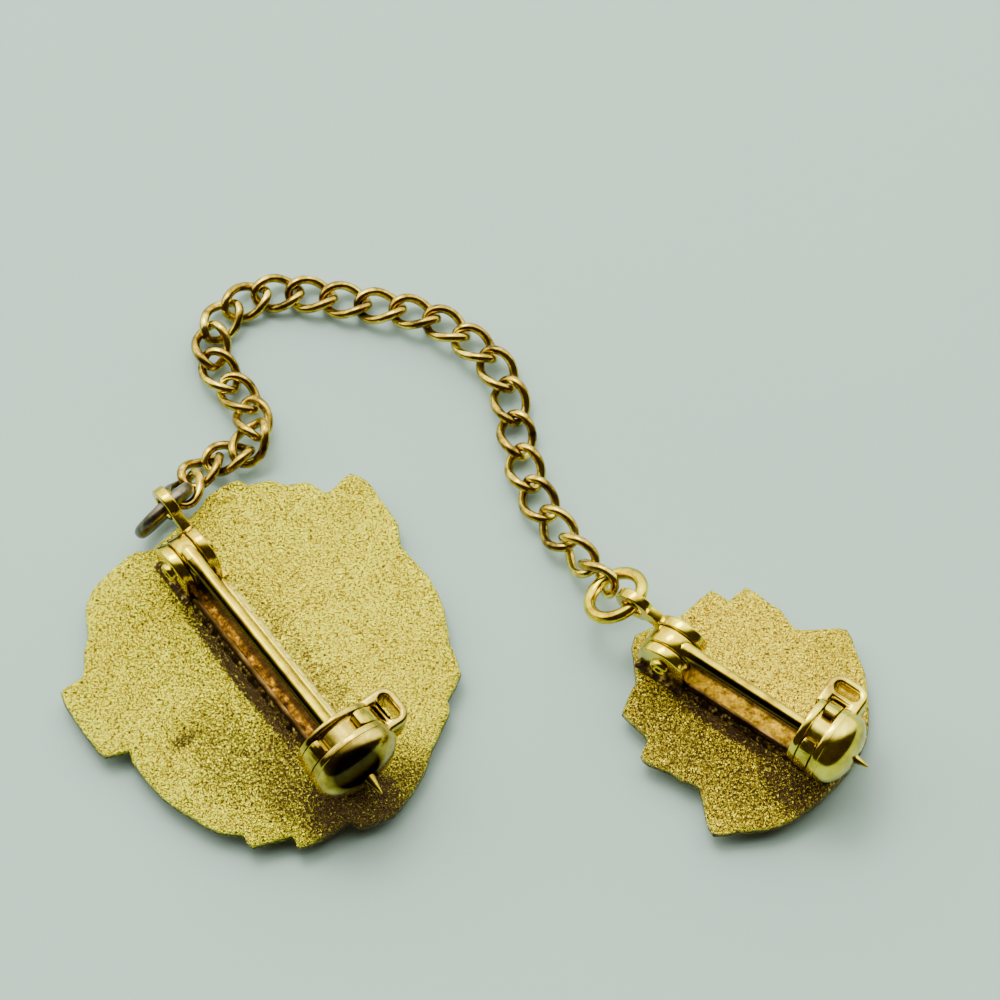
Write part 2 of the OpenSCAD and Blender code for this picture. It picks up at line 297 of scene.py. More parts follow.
def solder_bead():
    """Hard solder run along the far foot of the channel: pale and smooth, in lumps about
    0.2 mm across."""
    material, tree = new_material("solder_bead")
    place = add(tree, "ShaderNodeTexCoord").outputs["Object"]
    cloud = add(tree, "ShaderNodeTexNoise",
                {"Vector": place, "Scale": per_mm(0.2), "Detail": 4, "Roughness": 0.6})
    tone = add(tree, "ShaderNodeValToRGB", {"Fac": cloud.outputs["Fac"]},
               stops=((0.35, "CCB450"), (0.6, "FFFC90")))
    bump = add(tree, "ShaderNodeBump",
               {"Height": cloud.outputs["Fac"], "Strength": 0.5, "Distance": 0.08 * MM})
    surface(tree, {"Base Color": tone.outputs[0], "Metallic": 1.0, "Roughness": 0.3,
                   "Normal": bump.outputs[0]})
    return material


def shaded_burnt_flux():
    """Flux burnt brown along the near foot of the channel and darkened with painted shade, in
    crumbs about 0.3 mm across, with bright specks of solder."""
    material, tree = new_material("shaded_burnt_flux")
    place = add(tree, "ShaderNodeTexCoord").outputs["Object"]
    cloud = add(tree, "ShaderNodeTexNoise",
                {"Vector": place, "Scale": per_mm(0.3), "Detail": 4, "Roughness": 0.6})
    tone = add(tree, "ShaderNodeValToRGB", {"Fac": cloud.outputs["Fac"]},
               stops=((0.45, "2A1C0C"), (0.68, "D8C060"), (0.56, "5A4418")))
    bump = add(tree, "ShaderNodeBump",
               {"Height": cloud.outputs["Fac"], "Strength": 0.8, "Distance": 0.1 * MM})
    surface(tree, {"Base Color": tone.outputs[0], "Metallic": 0.8, "Roughness": 0.4,
                   "Normal": bump.outputs[0]})
    return material


def chain_gold():
    """Rolled gold wire, worn and handled: bronze toned, and brown where it is dull, in
    patches about half a link long."""
    material, tree = new_material("chain_gold")
    place = add(tree, "ShaderNodeTexCoord").outputs["Object"]
    cloud = add(tree, "ShaderNodeTexNoise",
                {"Vector": place, "Scale": per_mm(1.1), "Detail": 5, "Roughness": 0.65})
    tone = add(tree, "ShaderNodeValToRGB", {"Fac": cloud.outputs["Fac"]},
               stops=((0.34, "4A3A18"), (0.68, "F2E468"), (0.52, "B89A30")))
    rough = add(tree, "ShaderNodeMapRange",
                {0: cloud.outputs["Fac"], 1: 0.3, 2: 0.7, 3: 0.28, 4: 0.14})
    bump = add(tree, "ShaderNodeBump",
               {"Height": cloud.outputs["Fac"], "Strength": 0.2, "Distance": 0.05 * MM})
    surface(tree, {"Base Color": tone.outputs[0], "Metallic": 1.0,
                   "Roughness": rough.outputs[0], "Normal": bump.outputs[0]})
    return material


def gunmetal():
    """Steel ring gone grey: dark, with a soft sheen and brownish patches about a millimetre
    across."""
    material, tree = new_material("gunmetal")
    place = add(tree, "ShaderNodeTexCoord").outputs["Object"]
    cloud = add(tree, "ShaderNodeTexNoise",
                {"Vector": place, "Scale": per_mm(1.0), "Detail": 5, "Roughness": 0.6})
    tone = add(tree, "ShaderNodeValToRGB", {"Fac": cloud.outputs["Fac"]},
               stops=((0.32, "3A3226"), (0.66, "8C8270"), (0.5, "5E5646")))
    bump = add(tree, "ShaderNodeBump",
               {"Height": cloud.outputs["Fac"], "Strength": 0.2, "Distance": 0.04 * MM})
    surface(tree, {"Base Color": tone.outputs[0], "Metallic": 1.0, "Roughness": 0.32,
                   "Normal": bump.outputs[0]})
    return material


def pale_backdrop():
    """Matt paper under the part, of a pale grey that drifts a little over 60 mm."""
    material, tree = new_material("pale_backdrop")
    place = add(tree, "ShaderNodeTexCoord").outputs["Object"]
    cloud = add(tree, "ShaderNodeTexNoise",
                {"Vector": place, "Scale": per_mm(60), "Detail": 2})
    tone = add(tree, "ShaderNodeValToRGB", {"Fac": cloud.outputs["Fac"]},
               stops=((0.3, "A8C5B9"), (0.7, "AEC9BE")))
    surface(tree, {"Base Color": tone.outputs[0], "Roughness": 0.85})
    return material


def studio_air():
    """Studio surroundings: bright behind and above the part, and dark brown in front of it,
    where the room is unlit."""
    world = bpy.data.worlds.new("studio_air")
    bpy.context.scene.world = world
    world.use_nodes = True
    tree = world.node_tree
    tree.nodes.clear()
    # Bright towards +Y, and a little upwards and to the left
    way = add(tree, "ShaderNodeTexCoord").outputs["Generated"]
    towards = add(tree, "ShaderNodeVectorMath", {0: way, 1: (-0.1, 0.96, 0.25)},
                  operation="DOT_PRODUCT")
    level = add(tree, "ShaderNodeMapRange",
                {0: towards.outputs["Value"], 1: 0.12, 2: 0.5, 3: 0.0, 4: 1.0},
                interpolation_type="SMOOTHSTEP")
    tint = add(tree, "ShaderNodeMix",
               {0: level.outputs[0], 6: (0.05, 0.034, 0.03, 1), 7: (2.85, 2.8, 2.5, 1)},
               data_type="RGBA")
    glow = add(tree, "ShaderNodeBackground", {"Color": tint.outputs[2]})
    add(tree, "ShaderNodeOutputWorld", {"Surface": glow.outputs[0]})


studio_air()


# Modelling helpers

def pin_place(side):
    """Frame of a pin back: its origin at the hinge on the plate's back, +X along the
    stem. Also gives the distance from hinge to catch."""
    at = {j["name"]: Vector(j["pos_m"]) / MM for j in frame["joints"]}
    hinge, catch = at[side + "_stem_hinge"], at[side + "_lever_turn"]
    turn = math.atan2(catch.y - hinge.y, catch.x - hinge.x)
    reach = (catch - hinge).to_2d().length
    return Matrix.Translation((hinge.x, hinge.y, BACK)) @ Matrix.Rotation(turn, 4, "Z"), reach


def ease(bm, size, segments, above):
    """Round the edges where faces meet at more than an angle in degrees."""
    sharp = [e for e in bm.edges if e.is_manifold and e.calc_face_angle() > math.radians(above)]
    bmesh.ops.bevel(bm, geom=sharp, offset=size, offset_type="OFFSET", affect="EDGES",
                    segments=segments, profile=0.5, material=-1, clamp_overlap=True)


def turned(profile, sides):
    """Body turned about X from (x, radius) points."""
    bm = bmesh.new()
    line = [bm.verts.new((x, 0, r)) for x, r in profile]
    edges = [bm.edges.new(pair) for pair in zip(line, line[1:])]
    bmesh.ops.spin(bm, geom=line + edges, cent=(0, 0, 0), axis=(1, 0, 0),
                   angle=math.tau, steps=sides, use_merge=True)
    bmesh.ops.remove_doubles(bm, verts=bm.verts, dist=1e-4)
    bmesh.ops.recalc_face_normals(bm, faces=bm.faces)
    return bm


def flat_form(outline, thickness, across):
    """Plate cut from an outline of points and drawn out by a vector across it."""
    bm = bmesh.new()
    face = bm.faces.new([bm.verts.new(p) for p in outline])
    drawn = bmesh.ops.extrude_face_region(bm, geom=[face], use_keep_orig=True)
    far = [v for v in drawn["geom"] if isinstance(v, bmesh.types.BMVert)]
    bmesh.ops.translate(bm, verts=far, vec=Vector(across) * thickness)
    bmesh.ops.recalc_face_normals(bm, faces=bm.faces)
    return bm


def block(low, high):
    """Box between two corners."""
    bm = bmesh.new()
    bmesh.ops.create_cube(bm, size=1)
    low, high = Vector(low), Vector(high)
    bmesh.ops.scale(bm, vec=high - low, verts=bm.verts)
    bmesh.ops.translate(bm, vec=(low + high) / 2, verts=bm.verts)
    return bm


def swept(sections):
    """Closed body through sections that each have the same number of points."""
    bm = bmesh.new()
    face = bm.faces.new([bm.verts.new(p) for p in sections[0]])
    last = face
    for section in sections[1:]:
        drawn = bmesh.ops.extrude_face_region(bm, geom=[last], use_keep_orig=last is face)
        last = next(f for f in drawn["geom"] if isinstance(f, bmesh.types.BMFace))
        for vert, point in zip(last.verts, section):
            vert.co = point
    bmesh.ops.recalc_face_normals(bm, faces=bm.faces)
    return bm


def ring_points(count, radius, centre=(0, 0), start=0.0, sweep=360.0):
    """Points of an arc in a plane, from one angle through another in degrees. A whole turn
    doesn't end where it starts."""
    steps = count if sweep == 360 else count - 1
    return [(centre[0] + radius * math.cos(math.radians(start + sweep * i / steps)),
             centre[1] + radius * math.sin(math.radians(start + sweep * i / steps)))
            for i in range(count)]


def make_piece(bm, name, place, body, materials, nodes, smooth):
    """Put a modelled piece in its place, shade it smooth up to an angle in degrees, and
    give it to its body and its finish."""
    bmesh.ops.transform(bm, matrix=Matrix.Scale(MM, 4) @ place, verts=bm.verts)
    mesh = bpy.data.meshes.new(name)
    bm.to_mesh(mesh)
    bm.free()
    mesh.shade_smooth()
    mesh.set_sharp_from_angle(angle=math.radians(smooth))
    for material in materials:
        mesh.materials.append(material)
    piece = bpy.data.objects.new(name, mesh)
    bpy.context.scene.collection.objects.link(piece)
    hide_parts(*nodes)
    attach(piece, body)
    return piece


def cut(bm, tools):
    """Take the tools' shapes out of a body and give back what is left."""
    things = []
    for i, shape in enumerate([bm, *tools]):
        mesh = bpy.data.meshes.new(f"cutting_{i}")
        shape.to_mesh(mesh)
        shape.free()
        thing = bpy.data.objects.new(f"cutting_{i}", mesh)
        bpy.context.scene.collection.objects.link(thing)
        things.append(thing)
    for tool in things[1:]:
        boolean = things[0].modifiers.new("cut", "BOOLEAN")
        boolean.operation = "DIFFERENCE"
        boolean.solver = "EXACT"
        boolean.object = tool
    graph = bpy.context.evaluated_depsgraph_get()
    result = bmesh.new()
    result.from_mesh(things[0].evaluated_get(graph).data)
    for thing in things:
        mesh = thing.data
        bpy.data.objects.remove(thing)
        bpy.data.meshes.remove(mesh)
    return result


def joined(parts):
    """One mesh from several closed bodies."""
    whole = bmesh.new()
    for part in parts:
        mesh = bpy.data.meshes.new("part")
        part.to_mesh(mesh)
        part.free()
        whole.from_mesh(mesh)
        bpy.data.meshes.remove(mesh)
    return whole


def moved(bm, matrix):
    """The same mesh in another place."""
    bmesh.ops.transform(bm, matrix=matrix, verts=bm.verts)
    return bm


# Plates

def plate_outline(node):
    """Edge of a badge's plate, from a cut through a merged copy of its solid at the middle
    of the plate's thickness."""
    bm = bmesh.new()
    bm.from_mesh(frame["nodes"][node].data)
    bmesh.ops.scale(bm, vec=(1 / MM,) * 3, verts=bm.verts)
    bmesh.ops.remove_doubles(bm, verts=bm.verts, dist=1e-4)
    bmesh.ops.bisect_plane(bm, geom=bm.verts[:] + bm.edges[:] + bm.faces[:], dist=1e-4,
                           plane_co=(0, 0, BACK - PLATE_T / 2), plane_no=(0, 0, 1),
                           clear_inner=True, clear_outer=True)
    bmesh.ops.dissolve_limit(bm, angle_limit=math.radians(0.5), verts=bm.verts,
                             edges=bm.edges)
    start = bm.verts[:][0]
    outline, edge = [start], start.link_edges[0]
    while True:
        following = edge.other_vert(outline[-1])
        if following is start:
            break
        outline.append(following)
        edge = next(e for e in following.link_edges if e is not edge)
    points = [v.co.to_2d() for v in outline]
    bm.free()
    return points


def badge_plate(points, centre, dents):
    """Plate with a softened ragged edge, a little lower towards its rim, and dented."""
    bottom = BACK - PLATE_T
    spacing = 0.45
    bm = bmesh.new()
    face = bm.faces.new([bm.verts.new((*p, bottom)) for p in points])
    wall = bmesh.ops.extrude_face_region(bm, geom=[face], use_keep_orig=True)
    up = [v for v in wall["geom"] if isinstance(v, bmesh.types.BMVert)]
    bmesh.ops.translate(bm, verts=up, vec=(0, 0, PLATE_T - 0.16))
    top = next(f for f in wall["geom"] if isinstance(f, bmesh.types.BMFace))
    # The rounded edge rises the last 0.16 mm in three steps.
    for inward, rise in ((0.04, 0.08), (0.07, 0.055), (0.09, 0.025)):
        bmesh.ops.inset_region(bm, faces=[top], thickness=inward, depth=0,
                               use_even_offset=True)
        bmesh.ops.translate(bm, verts=top.verts[:], vec=(0, 0, rise))
    bmesh.ops.recalc_face_normals(bm, faces=bm.faces)
    radius = max((p - centre).length for p in points)
    # A grid of cuts gives the plate the points that its unevenness moves.
    for axis, middle in ((Vector((1, 0, 0)), centre.x), (Vector((0, 1, 0)), centre.y)):
        lines = int(radius / spacing)
        for i in range(-lines, lines + 1):
            bmesh.ops.bisect_plane(
                bm, geom=bm.verts[:] + bm.edges[:] + bm.faces[:], dist=1e-4,
                plane_co=axis * (middle + i * spacing), plane_no=axis)
    for vert in bm.verts:
        flat = vert.co.to_2d()
        out = (flat - centre).length / radius
        share = (vert.co.z - bottom) / PLATE_T
        drop = 0.22 * out ** 3
        # Waves a few millimetres long, and dents with a slightly raised rim
        drop += 0.07 * noise.noise(Vector((flat.x * 0.4, flat.y * 0.4, 4.0)))
        for where, wide, deep in dents:
            away = (flat - Vector(where)).length / wide
            drop += deep * (math.exp(-away * away) - 0.35 * math.exp(-(away - 1.5) ** 2 * 3))
        vert.co.z -= drop * share
        # Small nicks along the edge
        if out > 0.7:
            nick = noise.noise(Vector((flat.x * 1.7, flat.y * 1.7, 1.0)))
            inward = (centre - flat).normalized() * 0.05 * (nick + 1) * (share > 0)
            vert.co.x += inward.x
            vert.co.y += inward.y
    return bm


def badge_face(points, centre):
    """Plain raised face under the plate, with a rounded edge."""
    top = BACK - PLATE_T + 0.1  # sunk into the plate
    edge = 0.18  # height of the rounded edge, which its three steps add up to
    bm = bmesh.new()
    rim = [centre + (p - centre) * FACE_SHARE for p in points]
    face = bm.faces.new([bm.verts.new((*p, top)) for p in rim])
    wall = bmesh.ops.extrude_face_region(bm, geom=[face], use_keep_orig=True)
    down = [v for v in wall["geom"] if isinstance(v, bmesh.types.BMVert)]
    bmesh.ops.translate(bm, verts=down, vec=(0, 0, -(top - edge)))
    under = next(f for f in wall["geom"] if isinstance(f, bmesh.types.BMFace))
    for inward, fall in ((0.05, 0.09), (0.1, 0.06), (0.12, 0.03)):
        bmesh.ops.inset_region(bm, faces=[under], thickness=inward, depth=0,
                               use_even_offset=True)
        bmesh.ops.translate(bm, verts=under.verts[:], vec=(0, 0, -fall))
    bmesh.ops.recalc_face_normals(bm, faces=bm.faces)
    return bm


# Pin backs

def channel(reach, size):
    """Shallow channel with a flooded, uneven floor, lowered under the catch."""
    end = reach + 1.6
    steps = int((end + EAR_R) / 0.25)
    cap_clear = size["hook_r"] + 0.22
    under_cap = size["stem_z"] - math.sqrt(cap_clear ** 2 - CHANNEL_HALF ** 2)
    edge = 0.13  # size of the round edges of a wall's top
    sections = []
    for i in range(steps + 1):
        x = -EAR_R + (end + EAR_R) * i / steps
        top = CHANNEL_TOP if x > EAR_R else CHANNEL_FLOOR + 0.02
        if x > reach - 1.05:
            top = min(top, under_cap)
        # Solder climbs the foot of a wall that stands at its full height.
        climb = 0.06 * (top > 0.4)
        wave = [0.09 * noise.noise(Vector((x * 1.3, y * 2.0, reach))) for y in (-0.6, 0, 0.6)]
        wall = [(-CHANNEL_HALF, -0.2), (-CHANNEL_HALF, top - edge),
                (-CHANNEL_HALF + edge * 0.3, top - edge * 0.3), (-CHANNEL_HALF + edge, top),
                (-CHANNEL_INNER - edge, top), (-CHANNEL_INNER - edge * 0.3, top - edge * 0.3),
                (-CHANNEL_INNER, top - edge), (-CHANNEL_INNER, CHANNEL_FLOOR + climb)]
        floor = [(-0.6, CHANNEL_FLOOR + wave[0]), (0, CHANNEL_FLOOR - 0.03 + wave[1]),
                 (0.6, CHANNEL_FLOOR + wave[2])]
        far_wall = [(-y, z) for y, z in reversed(wall)]
        sections.append([(x, y, z) for y, z in wall + floor + far_wall])
    bm = swept(sections)
    # The floor has a material of its own, and the near wall a dark one for painted shade.
    for face in bm.faces:
        middle = face.calc_center_median()
        if abs(middle.y) < CHANNEL_INNER - 0.02 and 0.1 < middle.z < CHANNEL_FLOOR + 0.2:
            face.material_index = 1
        elif middle.y < -CHANNEL_INNER + 0.02:
            face.material_index = 2
    return bm


def ear_pair():
    """Two ears with round tops and flared feet."""
    ears = []
    for way in (-1, 1):
        outline = [(-EAR_R, way * EAR_IN, 0)]
        outline += [(x, way * EAR_IN, RIVET_Z + z)
                    for x, z in ring_points(37, EAR_R, start=180, sweep=-180)]
        outline += [(EAR_R, way * EAR_IN, 0)]
        ear = flat_form(outline, EAR_OUT - EAR_IN, (0, way, 0))
        ease(ear, 0.1, 3, 30)
        foot = swept([[(x, way * (EAR_OUT - 0.2), 0), (x, way * (EAR_OUT + 0.28), 0),
                       (x, way * (EAR_OUT + 0.24), 0.2), (x, way * (EAR_OUT + 0.1), 0.28),
                       (x, way * (EAR_OUT - 0.2), 0.3)] for x in (-EAR_R, EAR_R)])
        # The near foot is burnt flux with painted shade.
        for face in foot.faces:
            face.material_index = 1 if way < 0 else 0
        ears += [ear, foot]
    return joined(ears)


def eye_lug(eye_z):
    """Flat eye for the jump ring, drawn out of the far ear."""
    opening = -28  # angle at which the rim meets the arm from the ear
    outer = ring_points(40, EYE_R, (EYE_X, eye_z), opening, -304)
    outer += [(-1.0, eye_z + 0.2), (-1.0, eye_z - 0.7)]
    count = len(outer)
    bm = bmesh.new()
    rim = [bm.verts.new((x, EAR_IN, z)) for x, z in outer]
    hole = [bm.verts.new((x, EAR_IN, z))
            for x, z in ring_points(count, EYE_BORE_R, (EYE_X, eye_z), opening, -360)]
    edges = []
    for loop in (rim, hole):
        edges += [bm.edges.new((loop[i], loop[(i + 1) % count])) for i in range(count)]
    bmesh.ops.bridge_loops(bm, edges=edges)
    bmesh.ops.recalc_face_normals(bm, faces=bm.faces)
    drawn = bmesh.ops.extrude_face_region(bm, geom=bm.faces[:], use_keep_orig=True)
    far = [v for v in drawn["geom"] if isinstance(v, bmesh.types.BMVert)]
    bmesh.ops.translate(bm, verts=far, vec=(0, EAR_OUT - EAR_IN, 0))
    bmesh.ops.recalc_face_normals(bm, faces=bm.faces)
    ease(bm, 0.09, 3, 50)
    return bm


def catch_hook(reach, size):
    """Strip curled into a hook that is open at the top, on a short foot."""
    half, outer = size["hook_w"] / 2, size["hook_r"]
    inner = outer - HOOK_T
    mid = (inner + outer) / 2
    e = 0.09  # size of the strip's round edges
    start, sweep, steps = math.radians(122), math.radians(300), 60
    flat = [(-half, inner + e), (-half, outer - e), (-half + e * 0.3, outer - e * 0.3),
            (-half + e, outer), (half - e, outer), (half - e * 0.3, outer - e * 0.3),
            (half, outer - e), (half, inner + e), (half - e * 0.3, inner + e * 0.3),
            (half - e, inner), (-half + e, inner), (-half + e * 0.3, inner + e * 0.3)]
    sections = []
    for i in range(steps + 1):
        angle = start + sweep * i / steps
        # The strip's ends are rounded off.
        end = min(i, steps - i)
        slim = (0.82, 0.95)[end] if end < 2 else 1.0
        sections.append([(x * slim, (mid + (r - mid) * slim) * math.cos(angle),
                          (mid + (r - mid) * slim) * math.sin(angle)) for x, r in flat])
    strip = moved(swept(sections), Matrix.Translation((reach, 0, size["stem_z"])))
    foot = block((reach - half, -0.8, -0.1), (reach + half, 0.8, size["stem_z"] - outer + 0.35))
    ease(foot, 0.06, 2, 30)
    return joined([strip, foot])


def solder_run(reach, way, wide, seed):
    """Uneven bead of solder along one foot of the channel, which thins out at its ends."""
    sections = []
    steps = int((reach + 1.2) / 0.12)
    for i in range(steps + 1):
        x = EAR_R + (reach - 0.1) * i / steps
        swell = 0.5 + 0.5 * noise.noise(Vector((x * 1.6, seed, 0.5)))
        swell += 0.35 * noise.noise(Vector((x * 5.0, seed, 2.5)))
        fade = min(1, i / 5, (steps - i) / 5)
        foot = CHANNEL_HALF + wide * (0.7 + 0.5 * swell) * fade
        lift = (0.12 + 0.3 * swell) * fade
        bead = [(CHANNEL_HALF - 0.1, -0.25), (foot + 0.02, -0.25), (foot, -0.06),
                (CHANNEL_HALF + (foot - CHANNEL_HALF) * 0.55, 0.06 + lift * 0.3),
                (CHANNEL_HALF + (foot - CHANNEL_HALF) * 0.2, 0.05 + lift * 0.75),
                (CHANNEL_HALF - 0.04, 0.05 + lift)]
        sections.append([(x, way * y, z) for y, z in bead])
    return swept(sections)


def rivet_pin():
    """Rivet with a hollow end on each side, spread into a rounded rim by the punch."""
    # Distance from the stem's middle, and radius: hollow, rim, then shaft
    profile = [(-1.24, 0), (-1.25, 0.2), (-1.3, 0.29), (-1.39, 0.34), (-1.44, 0.4),
               (-1.44, 0.45), (-1.38, 0.51), (-1.25, 0.55), (-1.17, 0.55), (-1.17, 0.4)]
    profile += [(-x, r) for x, r in reversed(profile)]
    return moved(turned(profile, 48),
                 Matrix.Translation((0, 0, RIVET_Z)) @ Matrix.Rotation(math.pi / 2, 4, "Z"))


def pin_stem(size):
    """Hinge disc, a neck that narrows to the wire, and the wire's ground point."""
    disc = turned([(-0.5, 0), (-0.5, 1.28), (-0.46, 1.36), (-0.38, 1.4), (0.38, 1.4),
                   (0.46, 1.36), (0.5, 1.28), (0.5, 0)], 72)
    moved(disc, Matrix.Translation((0, 0, RIVET_Z)) @ Matrix.Rotation(math.pi / 2, 4, "Z"))
    tip, z = size["tip"], size["stem_z"]
    # x, half width, half height and lift of the wire's section
    along = [(-0.9, 0.42, 0.3, -0.6), (-0.5, 0.46, 0.36, -0.3), (0.0, 0.48, 0.42, -0.08),
             (0.6, 0.48, 0.43, -0.01), (1.0, 0.46, 0.42, 0), (1.5, 0.42, 0.41, 0),
             (1.9, STEM_R, STEM_R, 0), (4.0, STEM_R, STEM_R, 0), (tip - 1.6, STEM_R, STEM_R, 0),
             (tip - 1.3, 0.36, 0.36, 0), (tip - 0.9, 0.27, 0.27, 0), (tip - 0.4, 0.15, 0.15, 0),
             (tip - 0.05, 0.06, 0.06, 0), (tip, 0.02, 0.02, 0)]
    wire = swept([[(x, wide * c, z + lift + high * s) for c, s in ring_points(24, 1)]
                  for x, wide, high, lift in along])
    return joined([disc, wire])


def catch_lever(size):
    """Slotted barrel with a flange, a domed cap and a finger loop."""
    hook_r, hook_w = size["hook_r"], size["hook_w"]
    side = hook_w / 2 + 0.05
    flange, barrel, cap = hook_r - 0.1, hook_r - HOOK_T - 0.05, hook_r + 0.1
    collar, tip = side + 0.6, side + 1.85  # where the cap's dome starts and ends
    profile = [(-0.85, 0), (-0.85, flange - 0.12), (-0.81, flange - 0.03), (-0.74, flange),
               (-side - 0.1, flange), (-side - 0.03, flange - 0.03), (-side, flange - 0.1),
               (-side, barrel), (side, barrel), (side, cap - 0.12), (side + 0.04, cap - 0.03),
               (side + 0.12, cap), (side + 0.36, cap), (side + 0.4, cap - 0.04),
               (side + 0.46, cap - 0.04), (side + 0.5, cap), (collar, cap)]
    # The cap's end swells from its collar to the dome in one curve, fuller than a circle.
    full = 2.3
    dome = [(collar + (tip - collar) * t, cap * (1 - t ** full) ** (1 / full))
            for t in (0.2, 0.36, 0.5, 0.62, 0.72, 0.8, 0.87, 0.93, 0.97, 0.99)]
    body = turned(profile + dome + [(tip, 0)], 96)
    # The slot faces down while the catch is closed, and up to let the stem out of its bore.
    slot = moved(block((-4, 0, -0.5), (4, 2 * hook_r, 0.5)),
                 Matrix.Rotation(math.radians(285), 4, "X"))
    through = turned([(-4, 0), (-4, 0.5), (4, 0.5), (4, 0)], 32)
    body = cut(body, [slot, through])
    # Finger loop, with an oblong hole
    at, outer, bore = size["loop_at"], 0.75, 0.28
    outline = [(LOOP_SPAN + outer, 1.25), *ring_points(17, outer, (LOOP_SPAN, at), 0, 90),
               *ring_points(17, outer, (-LOOP_SPAN, at), 90, 90), (-LOOP_SPAN - outer, 1.25)]
    loop = flat_form([(x, y, -0.85) for x, y in outline], 1.7, (0, 0, 1))
    oblong = [*ring_points(17, bore, (LOOP_SPAN, at), -90, 180),
              *ring_points(17, bore, (-LOOP_SPAN, at), 90, 180)]
    hole = flat_form([(x, y, -1) for x, y in oblong], 2, (0, 0, 1))
    notch = block((-side - 0.05, 0, -1), (side + 0.05, hook_r + 0.05, 1))
    loop = cut(loop, [hole, notch])
    ease(loop, 0.2, 4, 50)
    # It dips a little towards the plate.
    moved(loop, Matrix.Rotation(math.radians(-8), 4, "X"))
    return joined([body, loop])


def jump_ring(size):
    """Round ring of wire, hung in the eye."""
    bm = bmesh.new()
    made = bmesh.ops.create_circle(bm, cap_ends=False, segments=20, radius=size["ring_wire"])
    bmesh.ops.rotate(bm, verts=made["verts"], cent=(0, 0, 0),
                     matrix=Matrix.Rotation(math.pi / 2, 3, "X"))
    bmesh.ops.translate(bm, verts=made["verts"], vec=(size["ring_r"], 0, 0))
    bmesh.ops.spin(bm, geom=bm.verts[:] + bm.edges[:], cent=(0, 0, 0), axis=(0, 0, 1),
                   angle=math.tau, steps=56, use_merge=True)
    bmesh.ops.recalc_face_normals(bm, faces=bm.faces)
    hang = (Matrix.Translation((EYE_X, (EAR_IN + EAR_OUT) / 2, size["eye_z"]))
            @ Matrix.Rotation(math.radians(size["turn"]), 4, "Z")
            @ Matrix.Rotation(math.radians(90 + size["lean"]), 4, "Y")
            @ Matrix.Translation((size["ring_r"], 0, 0)))
    return moved(bm, hang)


def smooth_link(node, material):
    """Link of the chain: a merged copy of its solid, rounded by a subdivision surface."""
    bm = bmesh.new()
    bm.from_mesh(frame["nodes"][node].data)
    bmesh.ops.scale(bm, vec=(1 / MM,) * 3, verts=bm.verts)
    bmesh.ops.remove_doubles(bm, verts=bm.verts, dist=1e-4)
    bmesh.ops.join_triangles(bm, faces=bm.faces, angle_face_threshold=math.radians(60),
                             angle_shape_threshold=math.radians(60))
    for vert in bm.verts:
        vert.normal_update()
    # The subdivision draws the wire in, so it starts a little thicker.
    for vert, way in [(v, v.normal.copy()) for v in bm.verts]:
        vert.co += way * 0.05
    piece = make_piece(bm, node + "_wire", Matrix.Identity(4), ROOT,
                       [material], [node], 180)
    rounding = piece.modifiers.new("rounding", "SUBSURF")
    rounding.levels = rounding.render_levels = 2


# Pieces of both pins

polished = polished_gold("polished_gold", "94741C", "D6C020", "F4E436")
# The catches are handled most, and their plating has worn paler.
handled = polished_gold("handled_gold", "8C7028", "D4C032", "F0E25C")
# The end of the large catch's cap gets a painted dark reflection around a spot.
main_place, main_reach = pin_place("main")
dark_reflection_spot = main_place @ Vector((main_reach + 2.3, -0.5, 4.5)) * MM
catch_dark_reflection = polished_gold("painted_reflection_gold", "604A1C", "B49E34", "DCCC54", dark_reflection_at=dark_reflection_spot)
# Near walls of the channels, painted dark for shade
shaded_wall_gold = polished_gold("painted_shade_wall_gold", "1E140A", "4A3616", "84683A")
bead = solder_bead()
shaded_flux = shaded_burnt_flux()
worn_chain = chain_gold()
grey_steel = gunmetal()

CENTRES = {"main": Vector((0, 0)), "guard": Vector((25.3, -2.9))}
# Blasted gold of the plates, in its pits, between them and on its high grains: the small
# badge is redder.
BLASTED = {"main": ("765C1E", "FAEA1E", "FFFF40"), "guard": ("6C4E22", "F4D620", "FFF240")}
# Pools of burnt flux and painted shade: place along and across the stem, how far each is
# drawn out along it, the sizes of its dark middle and of its whole, and how dark it is. The
# main badge's last one is stain and painted shade in its dent.
FLUX_AND_SHADE = {
    "main": [(7, -1.5, 13, 0.2, 0.75, 1.2), (12.5, -2.8, 1.7, 1.0, 3.4, 0.8),
             (15.8, -0.8, 1.2, 1.4, 5.0, 1.2), (17, 2.2, 1.4, 0.6, 3.4, 0.85),
             (9, 1.4, 6, 0.4, 2.2, 0.6), (10, 1.9, 1.2, 0.3, 1.2, 0.7),
             (9.5, -4.4, 1.6, 0.8, 3.4, 0.65), (7.3, -5.75, 0.45, 0.4, 1.5, 0.95)],
    "guard": [(4.5, -2.4, 2.2, 1.6, 5.5, 0.68), (9.5, -1.4, 1.5, 1.2, 3.8, 1.0),
              (4.5, -1.5, 9, 0.2, 0.75, 1.2), (11.5, 2.5, 1.5, 0.6, 2.8, 0.7)],
}
# Soldered floors of the channels: dark, plain and bright colour, and how far across the
# painted shadow of the stem starts on them
FLOORS = {"main": ("281A0A", "704C10", "D89C28", -0.25),
          "guard": ("583E0E", "90700F", "C2981C", 0.2)}
# Where each plate is dented: place, width and depth
DENTS = {"main": [((-3.5, -4.6), 1.2, 0.27), ((0.5, -6.3), 0.7, 0.09)], "guard": []}

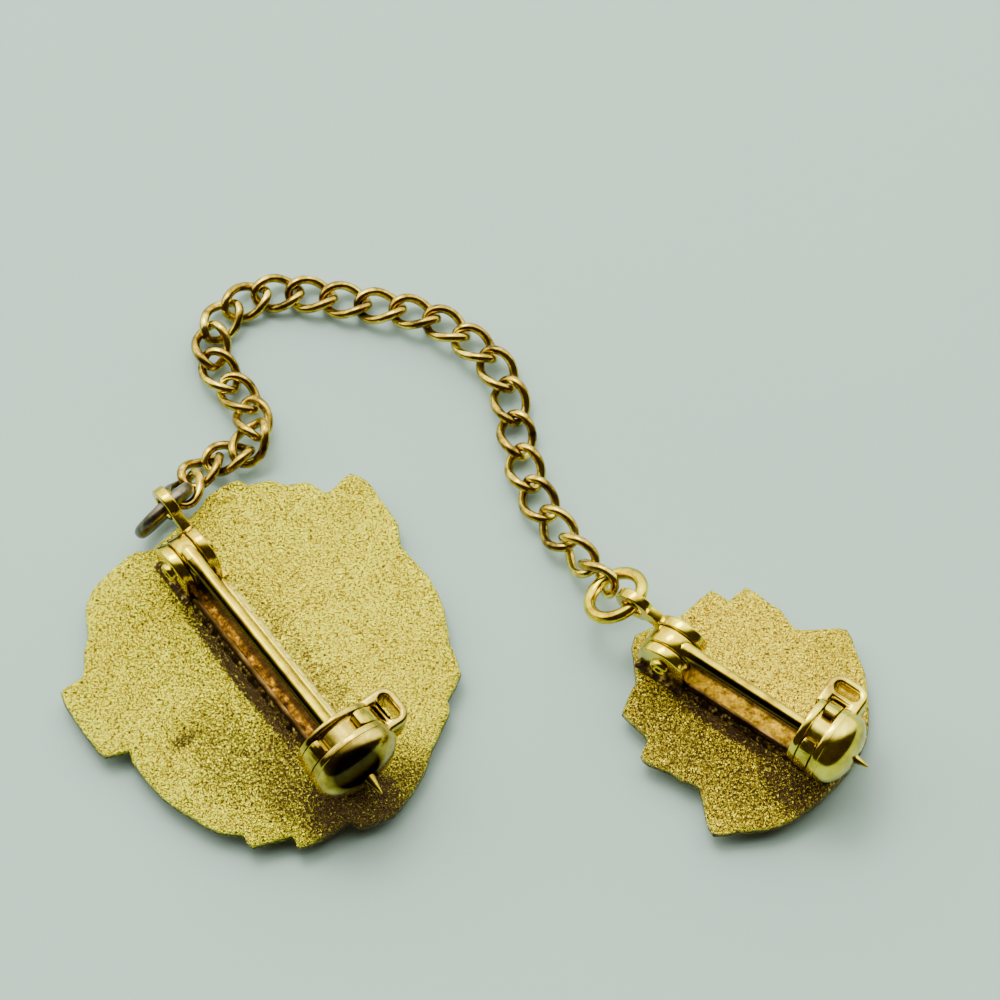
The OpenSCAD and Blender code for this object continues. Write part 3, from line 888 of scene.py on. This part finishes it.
here = Matrix.Identity(4)
for side, size in PINS.items():
    place, reach = pin_place(side)
    badge = side + "_badge"
    at_catch = place @ Matrix.Translation((reach, 0, size["stem_z"]))
    turn = place.to_euler().z
    hinge = place.translation * MM
    blasted = blasted_gold(f"blasted_gold_{side}", *BLASTED[side], hinge, turn, FLUX_AND_SHADE[side])
    *tones, shade = FLOORS[side]
    flooded = soldered_floor(f"soldered_floor_{side}", *tones, hinge, turn, shade)
    # The wire gets painted shade along its near side.
    stem_gold = polished_gold(f"stem_gold_{side}", "8C6E1A", "C6AE1A", "ECD828",
                              (hinge, turn))
    points = plate_outline(badge)
    make_piece(badge_plate(points, CENTRES[side], DENTS[side]), side + "_plate", here, ROOT,
               [blasted], [badge], 50)
    make_piece(badge_face(points, CENTRES[side]), side + "_face", here, ROOT,
               [polished], [badge], 40)
    # What is soldered to the badge: shape, name, finishes, and the angle it is smooth up to
    for shape, name, finishes, smooth in (
            (channel(reach, size), "channel", [polished, flooded, shaded_wall_gold], 40),
            (ear_pair(), "ears", [polished, shaded_flux], 40),
            (eye_lug(size["eye_z"]), "eye", [polished], 40),
            (catch_hook(reach, size), "hook", [handled], 40),
            (solder_run(reach, 1, 0.38, 3.0), "far_solder", [bead], 60),
            # The near bead is burnt flux with painted shade.
            (solder_run(reach, -1, 0.3, 8.0), "near_solder", [shaded_flux], 60)):
        make_piece(shape, f"{side}_{name}", place, ROOT, finishes, [badge],
                   smooth)
    make_piece(rivet_pin(), side + "_rivet_heads", place, ROOT,
               [polished], [side + "_rivet"], 50)
    slot, metal = ("gunmetal", grey_steel) if side == "main" else ("polished_gold", polished)
    make_piece(jump_ring(size), side + "_ring", place, ROOT, [metal],
               [side + "_jump_ring"], 60)
    make_piece(pin_stem(size), side + "_stem_wire", place, side + "_stem",
               [stem_gold], [side + "_stem"], 40)
    make_piece(catch_lever(size), side + "_catch", at_catch, side + "_lever",
               [catch_dark_reflection if side == "main" else handled],
               [side + "_lever"], 30)

for number in range(1, LINKS + 1):
    smooth_link(f"link_{number:02d}", worn_chain)

# Floor, 1.8 metres square

ground = bmesh.new()
bmesh.ops.create_grid(ground, x_segments=1, y_segments=1, size=0.9)
ground_mesh = bpy.data.meshes.new("floor")
ground.to_mesh(ground_mesh)
ground.free()
ground_mesh.materials.append(pale_backdrop())
floor = bpy.data.objects.new("floor", ground_mesh)
bpy.context.scene.collection.objects.link(floor)
